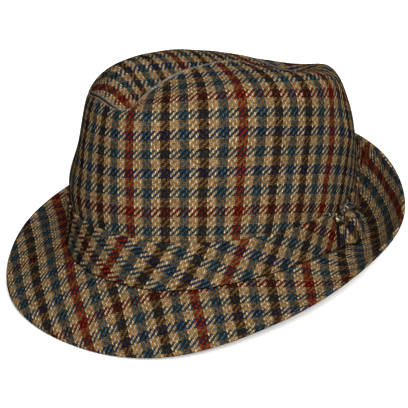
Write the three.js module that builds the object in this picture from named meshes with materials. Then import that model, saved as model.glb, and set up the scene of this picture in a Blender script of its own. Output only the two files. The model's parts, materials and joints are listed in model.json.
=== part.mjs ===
// Trilby hat of checked wool cloth, resting on its own brim.
// Millimetres, +Z up, front of the hat towards -Y, wearer's left towards +X.
// The shapes are worked out in the hat's own pose, then tipped back until it rests level on the floor.
import * as THREE from 'three';

// Named sizes
const HALF_LENGTH = 101;
const HALF_WIDTH = 83.5;
const CROWN_HEIGHT = 118;
const BRIM_WIDTH = 44;
const CLOTH = 2;
const BRIM_THICKNESS = 2.6;
const RIM_DROP = 6;
const GAP = 0.3;
const BRIM_EDGE_ROLL = 1.7;
const BAND_TOP = 29.5;
const BAND_FOOT = 0.5;
const BAND_CLEAR = 0.4;
const BAND_THICKNESS = 1.6;
const BAND_END_AT = 99.5;
const BAND_START_AT = 103.5;
const KNOT_FROM = 100.6;
const KNOT_TO = 121;
const KNOT_FOOT = 1.4;
const KNOT_TOP = 32;
const KNOT_EDGE = 1.2;
const KNOT_SWELL = 5.2;
const RIDGE_ROLL = 16;

// Heights and spreads of the two swells of the wall above the band
const LOW_SWELL_AT = 42;
const LOW_SWELL_SPREAD = 16;
const HIGH_SWELL_AT = 68;
const HIGH_SWELL_SPREAD = 18;

// Most of a side that the rounding of a corner may take
const WALL_SHARE = 0.45;
const SHELF_SHARE = 0.55;
const LIP_SHARE = 0.4;
const RISE_SHARE = 0.45;
const RIDGE_SHARE = 0.5;
const FLOOR_SHARE = 0.55;

// Part of half a wave that a swell of the knot uses, and the height it has at the knot's foot and top
const WAVE_FROM = 0.12;
const WAVE_SPAN = 0.76;
const KNOT_FLAT = 0.55;

// Mesh steps
const AROUND = 64;
const BAND_STEPS = 3;
const WALL_STEPS = 3;
const SHOULDER_STEPS = 4;
const SHELF_STEPS = 2;
const LIP_STEPS = 4;
const RISE_STEPS = 1;
const RIDGE_STEPS = 4;
const FLOOR_STEPS = 3;
const BRIM_STEPS = 7;
const KNOT_STEPS = 8;
const KNOT_RISE_STEPS = 4;

// Brim rows by angle from the front, the same on both sides.
// out, rise, joint and reach are shares of BRIM_WIDTH, slope is in degrees at the crown.
const BRIM_ROWS = [
  { at: 0, out: 0.75, rise: -0.7, joint: -0.03, slope: -22, reach: 0.32 },
  { at: 30, out: 0.86, rise: -0.55, joint: -0.02, slope: -20, reach: 0.36 },
  { at: 60, out: 0.78, rise: -0.18, joint: 0.08, slope: -25, reach: 0.39 },
  { at: 90, out: 0.63, rise: 0.11, joint: 0.11, slope: -25, reach: 0.39 },
  { at: 120, out: 0.6, rise: 0.37, joint: -0.08, slope: -14, reach: 0.39 },
  { at: 150, out: 0.39, rise: 0.71, joint: -0.11, slope: -8, reach: 0.41 },
  { at: 180, out: 0.17, rise: 0.88, joint: -0.05, slope: -8, reach: 0.39 },
];

// Crown rows by angle from the front, towards the wearer's left.
// corner is the shoulder's share of the base outline and up its share of CROWN_HEIGHT.
// seam and ridge are points, x a share of HALF_WIDTH, y of HALF_LENGTH, z of CROWN_HEIGHT.
// lip and roll are lengths along the cloth at the seam and the shoulder, low and high are swells of the wall.
const CROWN_ROWS = [
  {
    at: 0, corner: 0.88, up: 0.86, lip: 5, roll: 26, low: 2.5, high: 1.5,
    seam: [0, -0.82, 0.86], ridge: [0, -0.79, 0.86],
  },
  {
    at: 22, corner: 0.87, up: 0.91, lip: 5, roll: 26, low: 2, high: 1,
    seam: [0.04, -0.64, 0.93], ridge: [0.01, -0.63, 0.92],
  },
  {
    at: 45, corner: 0.85, up: 0.96, lip: 5, roll: 26, low: 2, high: 1,
    seam: [0.1, -0.47, 0.99], ridge: [0.07, -0.46, 0.97],
  },
  {
    at: 68, corner: 0.85, up: 0.97, lip: 5, roll: 26, low: 2, high: 1,
    seam: [0.17, -0.29, 1.01], ridge: [0.14, -0.29, 0.98],
  },
  {
    at: 90, corner: 0.85, up: 0.95, lip: 5, roll: 26, low: 2, high: 2,
    seam: [0.24, -0.1, 1], ridge: [0.2, -0.11, 0.98],
  },
  {
    at: 112, corner: 0.85, up: 0.92, lip: 5, roll: 18, low: 2.5, high: 5,
    seam: [0.34, 0.06, 0.94], ridge: [0.29, 0.05, 0.92],
  },
  {
    at: 135, corner: 0.84, up: 0.86, lip: 5, roll: 18, low: 4, high: 4,
    seam: [0.38, 0.23, 0.87], ridge: [0.35, 0.22, 0.86],
  },
  {
    at: 158, corner: 0.85, up: 0.83, lip: 6, roll: 17, low: 5, high: 4.5,
    seam: [0.32, 0.46, 0.8], ridge: [0.26, 0.42, 0.81],
  },
  {
    at: 180, corner: 0.86, up: 0.75, lip: 7, roll: 20, low: 3, high: 2,
    seam: [0, 0.57, 0.76], ridge: [0, 0.51, 0.79],
  },
  {
    at: 202, corner: 0.88, up: 0.7, lip: 9, roll: 26, low: 2, high: 1,
    seam: [-0.32, 0.6, 0.77], ridge: [-0.19, 0.46, 0.79],
  },
  {
    at: 225, corner: 0.88, up: 0.68, lip: 13, roll: 26, low: 2, high: 1,
    seam: [-0.57, 0.45, 0.8], ridge: [-0.29, 0.33, 0.85],
  },
  {
    at: 248, corner: 0.89, up: 0.69, lip: 16, roll: 26, low: 2, high: 1,
    seam: [-0.72, 0.18, 0.83], ridge: [-0.36, 0.14, 0.92],
  },
  {
    at: 270, corner: 0.89, up: 0.71, lip: 16, roll: 26, low: 3.5, high: 0.5,
    seam: [-0.76, -0.08, 0.85], ridge: [-0.37, -0.08, 0.96],
  },
  {
    at: 292, corner: 0.89, up: 0.71, lip: 16, roll: 24, low: 2.6, high: 0,
    seam: [-0.73, -0.37, 0.84], ridge: [-0.4, -0.28, 0.99],
  },
  {
    at: 315, corner: 0.89, up: 0.71, lip: 13, roll: 22, low: 3.7, high: 0,
    seam: [-0.57, -0.64, 0.81], ridge: [-0.44, -0.46, 1],
  },
  {
    at: 338, corner: 0.89, up: 0.76, lip: 8, roll: 25, low: 4, high: 2,
    seam: [-0.31, -0.78, 0.87], ridge: [-0.22, -0.65, 0.93],
  },
];

// Bottom of the crease by angle from the front, the same on both sides, in the same shares.
const CREASE_ROWS = [
  { at: 0, x: 0, y: -0.75, up: 0.85 },
  { at: 45, x: -0.01, y: -0.52, up: 0.81 },
  { at: 90, x: -0.02, y: -0.14, up: 0.78 },
  { at: 135, x: -0.02, y: 0.22, up: 0.78 },
  { at: 180, x: 0, y: 0.44, up: 0.8 },
];

// Smooth reading of a table around the hat
function mirrored(rows) {
  const back = rows.slice(1, -1).reverse();
  return rows.concat(back.map((row) => ({ ...row, at: 360 - row.at })));
}

function around(rows, read) {
  const count = rows.length;
  const knot = (place) => {
    const lap = Math.floor(place / count);
    const row = rows[place - lap * count];
    return [row.at + 360 * lap, read(row)];
  };
  return (degrees) => {
    const turn = ((degrees % 360) + 360) % 360;
    let first = count - 1;
    while (rows[first].at > turn) {
      first -= 1;
    }
    const [at0, v0] = knot(first - 1);
    const [at1, v1] = knot(first);
    const [at2, v2] = knot(first + 1);
    const [at3, v3] = knot(first + 2);
    const span = at2 - at1;
    const t = (turn - at1) / span;
    const leave = (span * (v2 - v0)) / (at2 - at0);
    const arrive = (span * (v3 - v1)) / (at3 - at1);
    const t2 = t * t;
    const t3 = t2 * t;
    const near = (2 * t3 - 3 * t2 + 1) * v1 + (t3 - 2 * t2 + t) * leave;
    return near + (3 * t2 - 2 * t3) * v2 + (t3 - t2) * arrive;
  };
}

const brimRows = mirrored(BRIM_ROWS);
const creaseRows = mirrored(CREASE_ROWS);
const brimOut = around(brimRows, (row) => row.out * BRIM_WIDTH);
const brimRise = around(brimRows, (row) => row.rise * BRIM_WIDTH);
const jointHeight = around(brimRows, (row) => row.joint * BRIM_WIDTH);
const brimSlope = around(brimRows, (row) => THREE.MathUtils.degToRad(row.slope));
const brimReach = around(brimRows, (row) => row.reach * BRIM_WIDTH);
const cornerShare = around(CROWN_ROWS, (row) => row.corner);
const cornerHeight = around(CROWN_ROWS, (row) => row.up * CROWN_HEIGHT);
const lipLength = around(CROWN_ROWS, (row) => row.lip);
const rollLength = around(CROWN_ROWS, (row) => row.roll);
const lowSwell = around(CROWN_ROWS, (row) => row.low);
const highSwell = around(CROWN_ROWS, (row) => row.high);
const placed = (name, axis, size) => around(CROWN_ROWS, (row) => row[name][axis] * size);
const seamAxes = [0, 1, 2].map((axis) => placed('seam', axis, [HALF_WIDTH, HALF_LENGTH, CROWN_HEIGHT][axis]));
const ridgeAxes = [0, 1, 2].map((axis) => placed('ridge', axis, [HALF_WIDTH, HALF_LENGTH, CROWN_HEIGHT][axis]));
const creaseX = around(creaseRows, (row) => row.x * HALF_WIDTH);
const creaseY = around(creaseRows, (row) => row.y * HALF_LENGTH);
const creaseZ = around(creaseRows, (row) => row.up * CROWN_HEIGHT);

// Points on the base outline and the level direction away from it
function basePoint(degrees, extra, height) {
  const angle = THREE.MathUtils.degToRad(degrees);
  const x = (HALF_WIDTH + extra) * Math.sin(angle);
  const y = -(HALF_LENGTH + extra) * Math.cos(angle);
  return new THREE.Vector3(x, y, height);
}

function outward(degrees) {
  const angle = THREE.MathUtils.degToRad(degrees);
  return new THREE.Vector3(Math.sin(angle) / HALF_WIDTH, -Math.cos(angle) / HALF_LENGTH, 0).normalize();
}

function bend(from, corner, to, t) {
  const first = from.clone().lerp(corner, t);
  return first.lerp(corner.clone().lerp(to, t), t);
}

function towards(from, to, length, share) {
  return from.clone().lerp(to, Math.min(length / from.distanceTo(to), share));
}

function straight(points, from, to, steps) {
  for (let step = 0; step < steps; step += 1) {
    points.push(from.clone().lerp(to, step / steps));
  }
}

function rounded(points, from, corner, to, steps) {
  for (let step = 0; step < steps; step += 1) {
    points.push(bend(from, corner, to, step / steps));
  }
}

// How far the wall stands out at a height
function swell(degrees, height) {
  const low = (height - LOW_SWELL_AT) / LOW_SWELL_SPREAD;
  const high = (height - HIGH_SWELL_AT) / HIGH_SWELL_SPREAD;
  return lowSwell(degrees) * Math.exp(-low * low) + highSwell(degrees) * Math.exp(-high * high);
}

function swollen(degrees, points) {
  const away = outward(degrees);
  return points.map((point) => point.addScaledVector(away, swell(degrees, point.z)));
}

// The wall's line from the joint to the band's top
function wallFoot(degrees, joint, corner) {
  const share = (BAND_TOP - joint.z) / (corner.z - joint.z);
  const points = [];
  straight(points, joint, joint.clone().lerp(corner, share), BAND_STEPS);
  points.push(joint.clone().lerp(corner, share));
  return points;
}

function shoulder(degrees) {
  const corner = basePoint(degrees, 0, 0).multiplyScalar(cornerShare(degrees));
  corner.z = cornerHeight(degrees);
  return corner;
}

// One line of the crown from its lower rim over the seam to the bottom of the crease
function crownLine(degrees) {
  const rim = basePoint(degrees, 0, -RIM_DROP);
  const joint = basePoint(degrees, 0, jointHeight(degrees));
  const corner = shoulder(degrees);
  const seam = new THREE.Vector3(...seamAxes.map((axis) => axis(degrees)));
  const ridge = new THREE.Vector3(...ridgeAxes.map((axis) => axis(degrees)));
  const crease = new THREE.Vector3(creaseX(degrees), creaseY(degrees), creaseZ(degrees));
  const wallEnd = towards(corner, joint, rollLength(degrees), WALL_SHARE);
  const shelfStart = towards(corner, seam, rollLength(degrees), SHELF_SHARE);
  const lipStart = towards(seam, corner, lipLength(degrees), LIP_SHARE);
  const lipEnd = towards(seam, ridge, lipLength(degrees), RISE_SHARE);
  const ridgeStart = towards(ridge, seam, RIDGE_ROLL, RIDGE_SHARE);
  const ridgeEnd = towards(ridge, crease, RIDGE_ROLL, FLOOR_SHARE);
  const foot = wallFoot(degrees, joint, corner);
  const wall = foot.slice(0, -1);
  straight(wall, foot[BAND_STEPS], wallEnd, WALL_STEPS);
  rounded(wall, wallEnd, corner, shelfStart, SHOULDER_STEPS);
  const points = [rim, ...swollen(degrees, wall)];
  straight(points, shelfStart, lipStart, SHELF_STEPS);
  rounded(points, lipStart, seam, lipEnd, LIP_STEPS);
  straight(points, lipEnd, ridgeStart, RISE_STEPS);
  rounded(points, ridgeStart, ridge, ridgeEnd, RIDGE_STEPS);
  straight(points, ridgeEnd, crease, FLOOR_STEPS);
  points.push(crease);
  return points;
}

const SEAM_STEP = 1 + BAND_STEPS + WALL_STEPS + SHOULDER_STEPS + SHELF_STEPS + LIP_STEPS / 2;

// One line of the brim's upper face from the crown to the outer edge
function brimLine(degrees) {
  const start = basePoint(degrees, GAP, jointHeight(degrees));
  const away = outward(degrees);
  const reach = brimReach(degrees);
  const slope = brimSlope(degrees);
  const turn = start.clone().addScaledVector(away, reach * Math.cos(slope));
  turn.z += reach * Math.sin(slope);
  const edge = basePoint(degrees, GAP, brimRise(degrees)).addScaledVector(away, brimOut(degrees) + BRIM_EDGE_ROLL);
  const points = [];
  rounded(points, start, turn, edge, BRIM_STEPS);
  points.push(edge);
  return points;
}

// The crown's wall at a height up to the band's top or a little above, moved out level by a length
function wallPoint(degrees, height, extra) {
  const joint = basePoint(degrees, 0, jointHeight(degrees));
  const line = swollen(degrees, wallFoot(degrees, joint, shoulder(degrees)));
  let step = 1;
  while (step < BAND_STEPS && line[step].z < height) {
    step += 1;
  }
  const share = (height - line[step - 1].z) / (line[step].z - line[step - 1].z);
  const point = line[step - 1].clone().lerp(line[step], share);
  return point.addScaledVector(outward(degrees), extra);
}

// Faces out of a grid of lines, each line a list of points along the cloth
function direction(grid, column, row, closed) {
  const last = grid.length - 1;
  const before = closed ? (column + last) % grid.length : Math.max(column - 1, 0);
  const after = closed ? (column + 1) % grid.length : Math.min(column + 1, last);
  const across = grid[after][row].clone().sub(grid[before][row]);
  const line = grid[column];
  const along = new THREE.Vector3();
  if (row > 0) {
    along.add(line[row].clone().sub(line[row - 1]).normalize());
  }
  if (row < line.length - 1) {
    along.add(line[row + 1].clone().sub(line[row]).normalize());
  }
  return { normal: across.cross(along).normalize(), along: along.normalize() };
}

// The second face of a cloth, level marks the one row that is moved straight down
function thicken(grid, thickness, level) {
  const down = new THREE.Vector3(0, 0, -Math.abs(thickness));
  return grid.map((line, column) => line.map((point, row) => {
    if (row === level) {
      return point.clone().add(down);
    }
    return point.clone().addScaledVector(direction(grid, column, row, true).normal, -thickness);
  }));
}

// A closed solid between an outer and an inner grid.
// A folded solid closes on itself along its last row.
function solid(outer, inner, closed, folded) {
  const columns = outer.length;
  const rows = outer[0].length;
  const positions = [];
  const places = new Map();
  const place = (layer, column, row) => {
    let wrapped = closed ? column % columns : column;
    if (folded && row === rows - 1) {
      wrapped = Math.min(wrapped, columns - wrapped);
    }
    const key = (layer * columns + wrapped) * rows + row;
    if (!places.has(key)) {
      places.set(key, positions.length / 3);
      const point = (layer ? inner : outer)[wrapped][row];
      positions.push(point.x, point.y, point.z);
    }
    return places.get(key);
  };
  const faces = [];
  const quad = (a, b, c, d) => {
    faces.push(a, b, c, a, c, d);
  };
  const spans = closed ? columns : columns - 1;
  for (let column = 0; column < spans; column += 1) {
    const next = column + 1;
    for (let row = 0; row < rows - 1; row += 1) {
      quad(place(0, column, row), place(0, next, row), place(0, next, row + 1), place(0, column, row + 1));
      quad(place(1, next, row), place(1, column, row), place(1, column, row + 1), place(1, next, row + 1));
    }
    quad(place(1, column, 0), place(1, next, 0), place(0, next, 0), place(0, column, 0));
    if (!folded) {
      const end = rows - 1;
      quad(place(0, column, end), place(0, next, end), place(1, next, end), place(1, column, end));
    }
  }
  if (!closed) {
    const end = columns - 1;
    for (let row = 0; row < rows - 1; row += 1) {
      quad(place(1, 0, row), place(0, 0, row), place(0, 0, row + 1), place(1, 0, row + 1));
      quad(place(0, end, row), place(1, end, row), place(1, end, row + 1), place(0, end, row + 1));
    }
  }
  const geometry = new THREE.BufferGeometry();
  geometry.setAttribute('position', new THREE.Float32BufferAttribute(positions, 3));
  geometry.setIndex(faces);
  return geometry;
}

function turns(from, to, steps) {
  return Array.from({ length: steps }, (unused, step) => from + ((to - from) * step) / steps);
}

// Crown: both panels come from one grid, parted by the gap along the seam
const crownGrid = turns(0, 360, AROUND).map(crownLine);
const creaseRow = crownGrid[0].length - 1;
const crownInner = thicken(crownGrid, CLOTH, creaseRow);

function parted(grid, row, side) {
  return grid.map((line, column) => {
    const along = direction(crownGrid, column, SEAM_STEP, true).along;
    return line[row].clone().addScaledVector(along, (side * GAP) / 2);
  });
}

function panel(grid, side) {
  const edge = parted(grid, SEAM_STEP, side);
  if (side < 0) {
    return grid.map((line, column) => [...line.slice(0, SEAM_STEP), edge[column]]);
  }
  return grid.map((line, column) => [edge[column], ...line.slice(SEAM_STEP + 1)]);
}

const crownSide = solid(panel(crownGrid, -1), panel(crownInner, -1), true, false);
const crownTip = solid(panel(crownGrid, 1), panel(crownInner, 1), true, true);

// Brim
const brimGrid = turns(0, 360, AROUND).map(brimLine);
const brimUnder = thicken(brimGrid, -BRIM_THICKNESS, 0);
const brim = solid(brimUnder, brimGrid, true, false);

// Band: a strip that runs round the wall, with both ends at the knot
function bandLine(degrees, extra) {
  const foot = jointHeight(degrees) + BAND_FOOT;
  const points = [wallPoint(degrees, foot, extra)];
  for (let step = 1; step <= BAND_STEPS; step += 1) {
    const height = jointHeight(degrees) + ((BAND_TOP - jointHeight(degrees)) * step) / BAND_STEPS;
    points.push(wallPoint(degrees, height, extra));
  }
  return points;
}

const bandTurns = turns(BAND_START_AT, BAND_END_AT + 360, AROUND - 1);
bandTurns.push(BAND_END_AT + 360);
const bandOuter = bandTurns.map((degrees) => bandLine(degrees, BAND_CLEAR + BAND_THICKNESS));
const bandInner = bandTurns.map((degrees) => bandLine(degrees, BAND_CLEAR));
const band = solid(bandOuter, bandInner, false, false);

// Knot: a folded pad of cloth over the ends of the band
function wave(share) {
  return Math.sin(Math.PI * (WAVE_FROM + WAVE_SPAN * share));
}

function knotLine(degrees, swelling) {
  const foot = jointHeight(degrees) + KNOT_FOOT;
  const points = [];
  for (let step = 0; step <= KNOT_RISE_STEPS; step += 1) {
    const share = step / KNOT_RISE_STEPS;
    const height = foot + (KNOT_TOP - foot) * share;
    const round = swelling * (KNOT_FLAT + (1 - KNOT_FLAT) * wave(share));
    points.push(wallPoint(degrees, height, 2 * BAND_CLEAR + BAND_THICKNESS + round));
  }
  return points;
}

const knotTurns = turns(KNOT_FROM, KNOT_TO, KNOT_STEPS);
knotTurns.push(KNOT_TO);
const knotShare = (degrees) => (degrees - KNOT_FROM) / (KNOT_TO - KNOT_FROM);
const knotSwell = (degrees) => KNOT_EDGE + KNOT_SWELL * wave(knotShare(degrees));
const knotOuter = knotTurns.map((degrees) => knotLine(degrees, knotSwell(degrees)));
const knotInner = knotTurns.map((degrees) => knotLine(degrees, 0));
const knot = solid(knotOuter, knotInner, false, false);

// Rest pose: the line under the hat's middle that its lowest points lie on becomes the floor
const shapes = [crownSide, crownTip, brim, band, knot];
const profile = [];
for (const shape of shapes) {
  const points = shape.getAttribute('position');
  for (let place = 0; place < points.count; place += 1) {
    profile.push([points.getY(place), points.getZ(place)]);
  }
}
profile.sort((a, b) => a[0] - b[0] || a[1] - b[1]);
const under = [];
for (const point of profile) {
  while (under.length > 1) {
    const [y1, z1] = under[under.length - 2];
    const [y2, z2] = under[under.length - 1];
    if ((y2 - y1) * (point[1] - z1) - (z2 - z1) * (point[0] - y1) > 0) {
      break;
    }
    under.pop();
  }
  under.push(point);
}
const behind = under.findIndex((point) => point[0] > 0);
const [frontY, frontZ] = under[behind - 1];
const [backY, backZ] = under[behind];
const tip = new THREE.Matrix4().makeRotationX(-Math.atan2(backZ - frontZ, backY - frontY));
const bounds = new THREE.Box3();
for (const shape of shapes) {
  shape.applyMatrix4(tip);
  shape.computeBoundingBox();
  bounds.union(shape.boundingBox);
}
const middle = bounds.getCenter(new THREE.Vector3());

// Named pieces
const hat = new THREE.Group();
hat.name = 'trilby_hat';
const pieces = [
  ['crown_side', crownSide, 0x6a5a46],
  ['crown_tip', crownTip, 0x66573f],
  ['brim', brim, 0x675944],
  ['hat_band', band, 0x6c5a45],
  ['bow_knot', knot, 0x645541],
];
for (const [name, shape, color] of pieces) {
  shape.translate(-middle.x, -middle.y, -bounds.min.z);
  shape.computeVertexNormals();
  const cloth = new THREE.MeshStandardMaterial({ color, roughness: 0.95, metalness: 0 });
  cloth.name = `${name}_cloth`;
  const piece = new THREE.Mesh(shape, cloth);
  piece.name = name;
  hat.add(piece);
}

export default hat;
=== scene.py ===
# Trilby hat of checked wool cloth: the looks of each piece, in the CAD model's frame.
# Shapes are worked out in millimetres in the hat's own pose, then moved to its rest pose in metres.
import json

import bpy
import numpy as np
from bpy.props import FloatProperty, FloatVectorProperty, PointerProperty
from mathutils import Matrix, Vector


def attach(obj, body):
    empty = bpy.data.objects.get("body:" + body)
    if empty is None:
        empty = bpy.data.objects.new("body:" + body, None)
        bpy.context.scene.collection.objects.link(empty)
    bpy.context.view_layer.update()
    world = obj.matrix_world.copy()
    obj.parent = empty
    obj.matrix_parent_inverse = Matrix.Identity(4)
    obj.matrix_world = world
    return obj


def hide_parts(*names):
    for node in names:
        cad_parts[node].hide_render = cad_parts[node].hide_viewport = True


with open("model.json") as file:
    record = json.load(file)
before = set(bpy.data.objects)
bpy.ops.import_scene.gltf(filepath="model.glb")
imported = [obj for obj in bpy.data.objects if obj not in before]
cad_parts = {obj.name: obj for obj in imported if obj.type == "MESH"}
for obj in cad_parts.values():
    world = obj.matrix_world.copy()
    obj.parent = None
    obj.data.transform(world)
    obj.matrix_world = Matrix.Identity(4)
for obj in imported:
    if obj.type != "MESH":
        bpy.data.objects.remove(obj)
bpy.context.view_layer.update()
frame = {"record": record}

bl_info = {
    "name": "Trilby Hat",
    "version": (1, 0, 0),
    "blender": (4, 5, 0),
    "location": "View3D > Sidebar > Trilby",
    "description": "Builds a cloth trilby with a creased crown, a band with a knot and a short brim",
    "category": "Add Mesh",
}

MM_IN_M = 1000
# Keeps a length that divides from being 0
NEVER_ZERO = 1e-9

# Sizes in millimetres and places in degrees from the front, as in the CAD model
HALF_LENGTH = 101
HALF_WIDTH = 83.5
CROWN_HEIGHT = 118
BRIM_WIDTH = 44
CLOTH = 2
BRIM_THICKNESS = 2.6
RIM_DROP = 6
GAP = 0.3
BRIM_EDGE_ROLL = 1.7
BAND_TOP = 29.5
BAND_FOOT = 0.5
BAND_CLEAR = 0.4
BAND_THICKNESS = 1.6
BAND_END_AT = 99.5
BAND_START_AT = 103.5
KNOT_FROM = 100.6
KNOT_TO = 121
KNOT_TOP = 32
RIDGE_ROLL = 16
LOW_SWELL_AT = 42
LOW_SWELL_SPREAD = 16
HIGH_SWELL_AT = 68
HIGH_SWELL_SPREAD = 18

# The most that a rounded bend takes of the line beside it, as a share
WALL_SHARE = 0.45
SHELF_SHARE = 0.55
LIP_SHARE = 0.4
RISE_SHARE = 0.45
RIDGE_SHARE = 0.5
FLOOR_SHARE = 0.55

# Mesh steps
AROUND = 360
WALL_STEPS = 40
SHOULDER_STEPS = 24
SHELF_STEPS = 16
LIP_STEPS = 16
RISE_STEPS = 8
RIDGE_STEPS = 20
FLOOR_STEPS = 12
SIDE_STEPS = 44
TIP_STEPS = 34
BRIM_STEPS = 36
BRIM_EDGE_STEPS = 8
KNOT_COLUMNS = 80
KNOT_ROWS = 56

# Brim rows by angle from the front, the same on both sides
BRIM_ROWS = [
    dict(at=0, out=0.75, rise=-0.7, joint=-0.03, slope=-22, reach=0.32),
    dict(at=30, out=0.86, rise=-0.55, joint=-0.02, slope=-20, reach=0.36),
    dict(at=60, out=0.78, rise=-0.18, joint=0.08, slope=-25, reach=0.39),
    dict(at=90, out=0.63, rise=0.11, joint=0.11, slope=-25, reach=0.39),
    dict(at=120, out=0.6, rise=0.37, joint=-0.08, slope=-14, reach=0.39),
    dict(at=150, out=0.39, rise=0.71, joint=-0.11, slope=-8, reach=0.41),
    dict(at=180, out=0.17, rise=0.88, joint=-0.05, slope=-8, reach=0.39),
]

# Crown rows by angle from the front, towards the wearer's left
CROWN_ROWS = [
    dict(at=0, corner=0.88, up=0.86, lip=5, roll=26, low=2.5, high=1.5,
         seam=(0, -0.82, 0.86), ridge=(0, -0.79, 0.86)),
    dict(at=22, corner=0.87, up=0.91, lip=5, roll=26, low=2, high=1,
         seam=(0.04, -0.64, 0.93), ridge=(0.01, -0.63, 0.92)),
    dict(at=45, corner=0.85, up=0.96, lip=5, roll=26, low=2, high=1,
         seam=(0.1, -0.47, 0.99), ridge=(0.07, -0.46, 0.97)),
    dict(at=68, corner=0.85, up=0.97, lip=5, roll=26, low=2, high=1,
         seam=(0.17, -0.29, 1.01), ridge=(0.14, -0.29, 0.98)),
    dict(at=90, corner=0.85, up=0.95, lip=5, roll=26, low=2, high=2,
         seam=(0.24, -0.1, 1), ridge=(0.2, -0.11, 0.98)),
    dict(at=112, corner=0.85, up=0.92, lip=5, roll=18, low=2.5, high=5,
         seam=(0.34, 0.06, 0.94), ridge=(0.29, 0.05, 0.92)),
    dict(at=135, corner=0.84, up=0.86, lip=5, roll=18, low=4, high=4,
         seam=(0.38, 0.23, 0.87), ridge=(0.35, 0.22, 0.86)),
    dict(at=158, corner=0.85, up=0.83, lip=6, roll=17, low=5, high=4.5,
         seam=(0.32, 0.46, 0.8), ridge=(0.26, 0.42, 0.81)),
    dict(at=180, corner=0.86, up=0.75, lip=7, roll=20, low=3, high=2,
         seam=(0, 0.57, 0.76), ridge=(0, 0.51, 0.79)),
    dict(at=202, corner=0.88, up=0.7, lip=9, roll=26, low=2, high=1,
         seam=(-0.32, 0.6, 0.77), ridge=(-0.19, 0.46, 0.79)),
    dict(at=225, corner=0.88, up=0.68, lip=13, roll=26, low=2, high=1,
         seam=(-0.57, 0.45, 0.8), ridge=(-0.29, 0.33, 0.85)),
    dict(at=248, corner=0.89, up=0.69, lip=16, roll=26, low=2, high=1,
         seam=(-0.72, 0.18, 0.83), ridge=(-0.36, 0.14, 0.92)),
    dict(at=270, corner=0.89, up=0.71, lip=16, roll=26, low=3.5, high=0.5,
         seam=(-0.76, -0.08, 0.85), ridge=(-0.37, -0.08, 0.96)),
    dict(at=292, corner=0.89, up=0.71, lip=16, roll=24, low=2.6, high=0,
         seam=(-0.73, -0.37, 0.84), ridge=(-0.4, -0.28, 0.99)),
    dict(at=315, corner=0.89, up=0.71, lip=13, roll=22, low=3.7, high=0,
         seam=(-0.57, -0.64, 0.81), ridge=(-0.44, -0.46, 1)),
    dict(at=338, corner=0.89, up=0.76, lip=8, roll=25, low=4, high=2,
         seam=(-0.31, -0.78, 0.87), ridge=(-0.22, -0.65, 0.93)),
]

# Bottom of the crease by angle from the front, the same on both sides
CREASE_ROWS = [
    dict(at=0, x=0, y=-0.75, up=0.85),
    dict(at=45, x=-0.01, y=-0.52, up=0.81),
    dict(at=90, x=-0.02, y=-0.14, up=0.78),
    dict(at=135, x=-0.02, y=0.22, up=0.78),
    dict(at=180, x=0, y=0.44, up=0.8),
]

# How each piece of cloth is cut: turn in degrees and the place of one rust crossing in its flat plan
SIDE_CUT = dict(turn=7.1, across=83.5, along=45.3, stretch=1)
TIP_CUT = dict(turn=-95, across=-6, along=-11, stretch=0.97)
BRIM_CUT = dict(turn=48, across=-20.4, along=-23.8, stretch=1.08)
BAND_CUT = dict(turn=-27.3, across=-79.4, along=6.2, stretch=1.08)
KNOT_CUT = dict(turn=38, across=-5.1, along=-23.7, stretch=1.08)


def mirrored(rows):
    return rows + [dict(row, at=360 - row["at"]) for row in rows[-2:0:-1]]


def around(rows, read):
    """Smooth reading of a table round the hat, for arrays of angles in degrees."""
    at = np.array([row["at"] for row in rows], float)
    values = np.array([read(row) for row in rows], float)
    at = np.concatenate([at - 360, at, at + 360, at + 720])
    values = np.tile(values, 4)

    def value(degrees):
        turn = np.mod(degrees, 360)
        first = np.searchsorted(at, turn, side="right") - 1
        span = at[first + 1] - at[first]
        t = (turn - at[first]) / span
        leave = span * (values[first + 1] - values[first - 1]) / (at[first + 1] - at[first - 1])
        arrive = span * (values[first + 2] - values[first]) / (at[first + 2] - at[first])
        start = (2 * t**3 - 3 * t**2 + 1) * values[first] + (t**3 - 2 * t**2 + t) * leave
        return start + (3 * t**2 - 2 * t**3) * values[first + 1] + (t**3 - t**2) * arrive

    return value


BRIM_ALL = mirrored(BRIM_ROWS)
CREASE_ALL = mirrored(CREASE_ROWS)
brim_out = around(BRIM_ALL, lambda row: row["out"] * BRIM_WIDTH)
brim_rise = around(BRIM_ALL, lambda row: row["rise"] * BRIM_WIDTH)
joint_height = around(BRIM_ALL, lambda row: row["joint"] * BRIM_WIDTH)
brim_slope = around(BRIM_ALL, lambda row: np.radians(row["slope"]))
brim_reach = around(BRIM_ALL, lambda row: row["reach"] * BRIM_WIDTH)
corner_share = around(CROWN_ROWS, lambda row: row["corner"])
corner_height = around(CROWN_ROWS, lambda row: row["up"] * CROWN_HEIGHT)
lip_length = around(CROWN_ROWS, lambda row: row["lip"])
roll_length = around(CROWN_ROWS, lambda row: row["roll"])
low_swell = around(CROWN_ROWS, lambda row: row["low"])
high_swell = around(CROWN_ROWS, lambda row: row["high"])
BLOCK = (HALF_WIDTH, HALF_LENGTH, CROWN_HEIGHT)
seam_axes = [around(CROWN_ROWS, lambda row, k=k: row["seam"][k] * BLOCK[k]) for k in range(3)]
ridge_axes = [around(CROWN_ROWS, lambda row, k=k: row["ridge"][k] * BLOCK[k]) for k in range(3)]
crease_x = around(CREASE_ALL, lambda row: row["x"] * HALF_WIDTH)
crease_y = around(CREASE_ALL, lambda row: row["y"] * HALF_LENGTH)
crease_z = around(CREASE_ALL, lambda row: row["up"] * CROWN_HEIGHT)


# Lines of the hat
def base_point(degrees, extra, height):
    angle = np.radians(degrees)
    x = (HALF_WIDTH + extra) * np.sin(angle)
    y = -(HALF_LENGTH + extra) * np.cos(angle)
    return np.stack([x, y, height + np.zeros_like(angle)], -1)


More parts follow.
